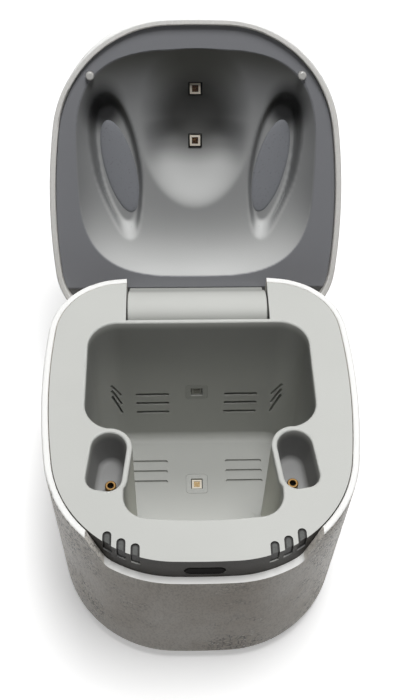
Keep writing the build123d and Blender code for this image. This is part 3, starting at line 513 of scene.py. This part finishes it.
# %% [markdown]
# ## The lid's sculpted liner
# Two deep grooves run down the liner, each with a level floor, a steep inner wall and long ramps at its ends.
# The solid has them with soft walls. Here the hollow gets a finer skin: a grid whose height follows the same
# formula as the solid, with sharper grooves. The flange, the back and the cut edge are copied from the solid, so
# they stay exactly where it has them. Beyond the hollow's rim the grid runs just behind the flange's face, so
# the rim is the clean line in which the two surfaces cross.

# %% Height formulas of the lid's hollow, in millimetres over the flange
flange_recess, deck_high = 2.0, deck_top / mm
dish_half_width, dish_front_y, dish_back_y = 39.2, -43.2, 32.0
dish_depth, dish_steepness = 7.0, 5.0
bowl_depth, bowl_centre_y, bowl_half_width = 7.6, -20.0, 19.0
bowl_reach_front, bowl_reach_back = 26.0, 30.0
groove_floor = 11.5 - flange_recess
solid_groove = {"x": 25.9, "y": -9.5, "wide": 9.0, "long": 27.0, "lean": 14.0, "edge": 0.55, "blunt": 2.0}
sharp_groove = {"x": 25.8, "y": -4.6, "wide": 7.8, "long": 25.2, "lean": 9.0, "edge": 0.24, "blunt": 2.4}


def eased(value):
    value = min(max(value, 0.0), 1.0)
    return value * value * (3 - 2 * value)


def levelled(rise, fade=0.8, drop=3.75):
    """Lets a rise run out smoothly a little below the flange."""
    return fade * math.log1p(math.exp(rise / fade + drop)) - drop * fade


def groove_share(x, y, groove):
    """1 over a groove's floor, easing to 0 at its rim; narrower towards the hinge."""
    lean = math.radians(groove["lean"])
    aside, ahead = abs(x) - groove["x"], y - groove["y"]
    along = (-aside * math.sin(lean) + ahead * math.cos(lean)) / groove["long"]
    across = (aside * math.cos(lean) + ahead * math.sin(lean)) / groove["wide"]
    across /= 1 - 0.3 * eased(along)
    away = (abs(across) ** groove["blunt"] + abs(along) ** groove["blunt"]) ** (1 / groove["blunt"])
    return eased((1 - away) / groove["edge"])


def hollow_rise(x, y, groove):
    middle_y, half_length = (dish_front_y + dish_back_y) / 2, (dish_back_y - dish_front_y) / 2
    reach = ((abs(x) / dish_half_width) ** 3.2 + (abs(y - middle_y) / half_length) ** 3.2) ** (1 / 3.2)
    dish = dish_depth * (1 - reach**dish_steepness)
    away, power, fall = math.hypot(x / bowl_half_width, (y - bowl_centre_y) / bowl_reach_front), 2.0, 1.0
    ahead = (y - bowl_centre_y) / bowl_reach_back
    if groove is sharp_groove and ahead > 0:
        away, power = math.hypot(x / bowl_half_width, ahead), 2.0 + 3.0 * eased(ahead / 0.53)
        fall = 1 - 0.64 * ahead * eased(ahead / 0.3)
    bowl = bowl_depth * fall * (1 - away**power) ** 2 if away < 1 else 0.0
    rise = dish + bowl
    share = groove_share(x, y, groove)
    return levelled(rise + share * max(groove_floor - rise, 0.0))


print("groove floor over flange, mm:", groove_floor, "solid rise at pad middle:", hollow_rise(25.3, -4, solid_groove))

# %% A fine grid for the hollow
grid_step = 0.6
lamp_window = 2.2
lid_lamps = lamp_places()
flange_high = deck_high + flange_recess


def grid_lines(low, high, extra):
    count = round((high - low) / grid_step)
    lines = [low + (high - low) * number / count for number in range(count + 1)]
    lines = [line for line in lines if all(abs(line - other) > grid_step / 3 for other in extra)]
    return sorted(lines + extra)


def hollow_grid(shape):
    """Adds the hollow's surface to a mesh, lid shut, with square windows for the lamps."""
    made = {}

    def point(corner):
        if corner not in made:
            x, y, rise = corner
            made[corner] = shape.verts.new((x * mm, y * mm, (flange_high + max(rise, 0.04)) * mm))
        return made[corner]

    xs = grid_lines(-dish_half_width - 1, dish_half_width + 1, [-lamp_window, lamp_window])
    ys = grid_lines(
        dish_front_y - 1, dish_back_y + 1, [y + side * lamp_window for _, y in lid_lamps for side in (-1, 1)]
    )
    rows = []
    for y in ys:
        rises = [hollow_rise(x, y, sharp_groove) for x in xs]
        rows.append([(x, y, rise) for x, rise in zip(xs, rises)])
    for row in range(len(ys) - 1):
        for column in range(len(xs) - 1):
            x, y = (xs[column] + xs[column + 1]) / 2, (ys[row] + ys[row + 1]) / 2
            if any(max(abs(x - lamp_x), abs(y - lamp_y)) < lamp_window for lamp_x, lamp_y in lid_lamps):
                continue
            near, far_row = rows[row], rows[row + 1]
            corners = (near[column], far_row[column], far_row[column + 1], near[column + 1])
            if max(rise for _, _, rise in corners) > 0.0:
                shape.faces.new([point(corner) for corner in corners])


# %% The liner: the solid's flange and back with the fine hollow
def in_seat(face):
    """Whether a face of the solid's liner, lid shut, is a pad's seat: near the pad, under the back skin."""
    middle = face.calc_center_median()
    x, y, rise = middle.x / mm, middle.y / mm, middle.z / mm - flange_high
    lean = math.radians(pad_lean)
    aside, ahead = abs(x) - 25.3, y + 4.0
    across = aside * math.cos(lean) + ahead * math.sin(lean)
    along = -aside * math.sin(lean) + ahead * math.cos(lean)
    near = math.hypot(across / 7.5, along / 18.5) < 1
    return near and 0.2 < rise < 11.0 and face.normal.z < 0.5


def shows_through(face):
    """Whether a face of the solid's liner, lid shut, is on the room's side of the fine hollow."""
    middle = face.calc_center_median()
    x, y, rise = middle.x / mm, middle.y / mm, middle.z / mm - flange_high
    new_rise = hollow_rise(x, y, sharp_groove)
    by_a_lamp = any(max(abs(x - lamp_x), abs(y - lamp_y)) < lamp_window + 0.3 for lamp_x, lamp_y in lid_lamps)
    return new_rise > 0.5 and 0.1 < rise < new_rise + 0.6 and not by_a_lamp


def on_hollow(vertex):
    """Whether a point of the solid's liner, lid shut, is on its hollowed face."""
    x, y, rise = vertex.co.x / mm, vertex.co.y / mm, vertex.co.z / mm - flange_high
    return abs(rise - hollow_rise(x, y, solid_groove)) < 0.2 and rise > -0.01


def liner_mesh():
    shape = bmesh.new()
    shape.from_mesh(nodes["lid_liner"].data)
    shape.transform(closed_to_open.inverted())
    bmesh.ops.remove_doubles(shape, verts=shape.verts[:], dist=0.002 * mm)
    shape.normal_update()
    marked = {vertex for vertex in shape.verts if on_hollow(vertex)}
    old_skin = [
        face
        for face in shape.faces
        if all(vertex in marked for vertex in face.verts) or in_seat(face) or shows_through(face)
    ]
    bmesh.ops.delete(shape, geom=old_skin, context="FACES")
    for edge in shape.edges:
        edge.smooth = len(edge.link_faces) == 2 and edge.calc_face_angle(0.0) < math.radians(25)
    hollow_grid(shape)
    shape.transform(closed_to_open)
    shape.normal_update()
    mesh = bpy.data.meshes.new("sculpted_liner")
    shape.to_mesh(mesh)
    shape.free()
    for face in mesh.polygons:
        face.use_smooth = True
    print("faces of the solid left out:", len(old_skin), "liner faces:", len(mesh.polygons))
    return mesh


pad_lean = 14.0
liner = new_piece("sculpted_liner", liner_mesh(), finishes["liner_grey"], "lid")
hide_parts("lid_liner")

# %% [markdown]
# ## Oval pads
# Two moulded foam-rubber pads lie in the lid's grooves and hold the hearing aids' battery doors open. The real
# pad is a long oval with a softly rounded edge and a face that swells very slightly. It is built as rings of
# points from the middle outward, each ring an oval at its own height, and subdivision makes it smooth. A cloth
# simulation would add nothing here: the skin has no folds and no seam.

# %% Pad shape
pad_length, pad_width = 32.3 * mm, 10.4 * mm
pad_depth, pad_crown, pad_edge = 1.5 * mm, 0.35 * mm, 0.5 * mm
ring_points = 48


def pad_rings():
    """Each ring's inset from the pad's outline, and its height over the face's edge."""
    half = pad_width / 2
    rings = []
    for share in (0.12, 0.3, 0.5, 0.68, 0.82):
        rings.append((half * (1 - share), pad_crown * (1 - share**2)))
    for angle in (90, 60, 30, 0):
        lean = math.radians(angle)
        rings.append((pad_edge * (1 - math.cos(lean)), pad_edge * (math.sin(lean) - 1)))
    rings.append((0.0, -pad_depth))
    return rings


def pad_mesh(name):
    shape = bmesh.new()
    middle = shape.verts.new((0, 0, pad_crown))
    before = None
    for inset, height in pad_rings():
        ring = []
        for number in range(ring_points):
            angle = 2 * math.pi * number / ring_points
            across = (pad_width / 2 - inset) * math.cos(angle)
            along = (pad_length / 2 - inset) * math.sin(angle)
            ring.append(shape.verts.new((across, along, height)))
        for number in range(ring_points):
            after = (number + 1) % ring_points
            if before is None:
                shape.faces.new((middle, ring[number], ring[after]))
            else:
                shape.faces.new((before[number], ring[number], ring[after], before[after]))
        before = ring
    shape.faces.new(before[::-1])
    mesh = bpy.data.meshes.new(name)
    shape.to_mesh(mesh)
    shape.free()
    for face in mesh.polygons:
        face.use_smooth = True
    return mesh


# %% Pad rubber
def pad_rubber(name):
    f = Finish(name)
    x, y, z = f.parts(f.place())
    paler = f.step(z, 0.115, 0.140)
    grain = f.noise(2400, 3, 0.6)
    pores = f.step(f.noise(1500, 2), 0.62, 0.70)
    # Painted shading: the pad is a shade paler towards the top.
    colour = f.mix(paler, tone(124, 126, 131), tone(134, 137, 144))
    return f.set(
        Base_Color=f.mix(pores * 0.35, colour, tone(96, 97, 102)),
        Roughness=grain * 0.15 + 0.5,
        Normal=f.bump(grain - pores, 0.00012, 0.5),
    ).material


pad_finish = pad_rubber("pad_rubber")
for side, name in ((-1, "left"), (1, "right")):
    low, high = span(f"lid_pad_{name}", closed_to_open.inverted())
    centre = (low + high) / 2
    facing_down = Matrix.Rotation(math.pi, 4, "Y")
    leaning = Matrix.Rotation(math.radians(side * pad_lean), 4, "Z")
    face_height = Matrix.Translation((centre.x, centre.y, low.z))
    mesh = pad_mesh(f"oval_pad_{name}")
    mesh.transform(closed_to_open @ face_height @ leaning @ facing_down)
    pad = new_piece(f"oval_pad_{name}", mesh, pad_finish, "lid")
    smooth = pad.modifiers.new("smooth", "SUBSURF")
    smooth.levels = smooth.render_levels = 1
    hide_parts(f"lid_pad_{name}")
    print("pad", name, "centre, lid shut, mm:", [round(v / mm, 2) for v in centre])

# %% [markdown]
# ## Lamp chips
# Each ultraviolet lamp is a white ceramic cup with a dark chip at its bottom. The chip carries two gold pads and
# a smaller square die. It is a small bevelled plate with raised parts, set just below the cup's rim.

# %% Chip shape and finish
chip_size, chip_thick, chip_sink = 2.1 * mm, 0.30 * mm, 0.12 * mm


def add_block(shape, centre, size):
    made = bmesh.ops.create_cube(shape, size=1.0)
    bmesh.ops.scale(shape, vec=size, verts=made["verts"])
    bmesh.ops.translate(shape, vec=centre, verts=made["verts"])
    return made["verts"]


def chip_mesh(name):
    """The plate with its face at height 0, and the die and the two gold pads standing on it."""
    shape = bmesh.new()
    add_block(shape, (0, 0, -chip_thick / 2), (chip_size, chip_size, chip_thick))
    add_block(shape, (0.15 * mm, 0.15 * mm, 0.03 * mm), (1.0 * mm, 1.0 * mm, 0.10 * mm))
    for x, y in ((-0.62, -0.62), (0.25, -0.72)):
        add_block(shape, (x * mm, y * mm, 0.02 * mm), (0.50 * mm, 0.34 * mm, 0.08 * mm))
    bmesh.ops.bevel(shape, geom=shape.edges[:], offset=0.03 * mm, segments=2, affect="EDGES")
    mesh = bpy.data.meshes.new(name)
    shape.to_mesh(mesh)
    shape.free()
    return mesh


def chip_finish(name, dark, bright):
    f = Finish(name)
    speck = f.noise(5200, 2)
    return f.set(
        Base_Color=f.mix(f.step(speck, 0.52, 0.66), dark, bright),
        Roughness=speck * 0.2 + 0.3,
        Specular_IOR_Level=0.12,
    ).material


# %% Chips in the four lamps
upward = Matrix()
into_room = Matrix.Rotation(math.radians(90), 4, "X")
chip_brown = chip_finish("chip_brown", tone(30, 19, 15), tone(140, 104, 66))
chip_gold = chip_finish("chip_gold", tone(190, 160, 116), tone(236, 214, 172))
chip_shaded = chip_finish("chip_shaded", tone(128, 127, 120), tone(150, 148, 140))
lamp_views = {
    "floor_lamp": (Matrix(), upward, "base", chip_gold),
    "back_lamp": (Matrix(), into_room, "base", chip_shaded),
    "lid_lamp_front": (closed_to_open, Matrix.Rotation(math.pi, 4, "Y"), "lid", chip_brown),
    "lid_lamp_rear": (closed_to_open, Matrix.Rotation(math.pi, 4, "Y"), "lid", chip_brown),
}
for name, (view, turned, body, look) in lamp_views.items():
    low, high = span(name, view.inverted())
    centre = (low + high) / 2
    outward = (turned @ Vector((0, 0, 1))).normalized()
    half = Vector([(high[i] - low[i]) / 2 * outward[i] for i in range(3)]).length
    spot = Matrix.Translation(centre + outward * (half - chip_sink))
    mesh = chip_mesh(f"{name}_chip")
    mesh.transform(view @ spot @ turned)
    chip = new_piece(f"{name}_chip", mesh, look, body)
    print("chip in", name, [round(v / mm, 2) for v in centre])
